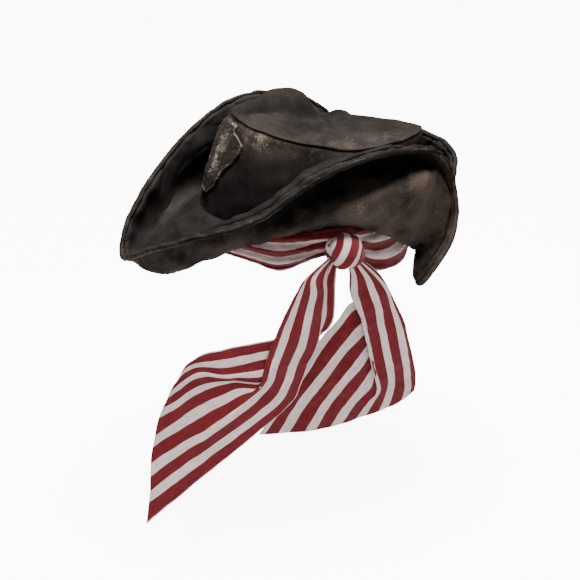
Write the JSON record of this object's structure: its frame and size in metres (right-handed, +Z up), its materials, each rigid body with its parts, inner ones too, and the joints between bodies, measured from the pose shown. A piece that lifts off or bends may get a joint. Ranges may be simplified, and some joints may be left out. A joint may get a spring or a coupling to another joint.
{
  "type": "pirate hat",
  "caption": "Soft suede-look three-cornered hat with turned-up flaps, slouched crown, worn patch and a striped head scarf knotted under the brim with long hanging tails.",
  "frame": {"origin": "centre of the head opening, on the seam where the crown meets the brim", "axes": "+Z up out of the crown, -X towards the front point, -Y towards the wearer's left, where the scarf is knotted"},
  "size_m": [0.3502, 0.2512, 0.3798],
  "materials": {
    "suede": "dark brown distressed faux suede, paler where it is rubbed",
    "patch": "cracked, scuffed leather-look with pale scratches",
    "lining": "black lining cloth",
    "ribbon": "ribbed black band",
    "felt": "grey non-woven stiffener",
    "wire": "drawn steel",
    "cotton": "red and white striped woven cotton"
  },
  "bodies": {
    "hat": {"crown_side_left": "suede", "crown_side_right": "suede", "crown_tip": "suede", "crown_lining_side": "lining", "crown_lining_tip": "lining", "sweatband": "ribbon", "crown_patch": "patch", "brim_upper_layer": "suede", "brim_interlining": "felt", "brim_lower_layer": "suede", "brim_edge_wire": "wire", "scarf_head_wrap": "cotton", "scarf_knot_loop": "cotton", "scarf_knot_core": "cotton"},
    "front_tail": {"scarf_tail_front": "cotton"},
    "rear_tail": {"scarf_tail_rear": "cotton"}
  },
  "joints": [
    {"name": "front_tail_swing", "type": "hinge", "parent": "hat", "child": "front_tail", "pos_m": [0.001, -0.113, -0.014], "axis": [0, 1, 0], "range_deg": [-50, 15]},
    {"name": "rear_tail_swing", "type": "hinge", "parent": "hat", "child": "rear_tail", "pos_m": [0.001, -0.113, -0.014], "axis": [0, 1, 0], "range_deg": [-8, 30]}
  ]
}
